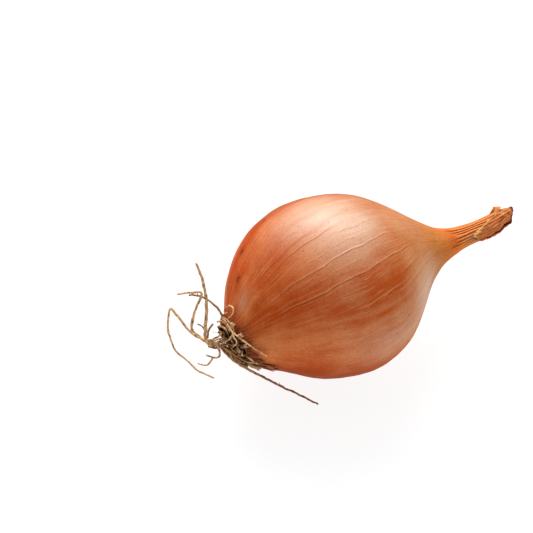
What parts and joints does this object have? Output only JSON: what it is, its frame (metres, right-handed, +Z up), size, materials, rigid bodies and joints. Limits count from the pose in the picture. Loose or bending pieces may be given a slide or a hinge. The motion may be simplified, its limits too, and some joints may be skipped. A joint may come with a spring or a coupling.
{
  "type": "shallot",
  "caption": "Long shallot lying on its side: coppery papery skin drawn into a dry torn neck with a withered leaf, and a dry root tuft.",
  "frame": {"origin": "middle of the small flat spot that the bulb rests on", "axes": "+X along the bulb from its root end to its neck, +Z up"},
  "size_m": [0.0983, 0.0465, 0.0454],
  "materials": {
    "papery_skin": "thin dry onion skin, coppery orange-brown with pale lengthwise veins and darker streaks, satin sheen, yellowish towards the neck",
    "withered_leaf": "dry fibrous brown leaf with lengthwise ridges, dark at its tip and lips, matt to satin",
    "dry_roots": "dry wiry tan roots on a dark brown corky plate, matt"
  },
  "bodies": {
    "root": {"bulb": "papery_skin", "withered_leaf": "withered_leaf", "root_tuft": "dry_roots"}
  },
  "joints": []
}
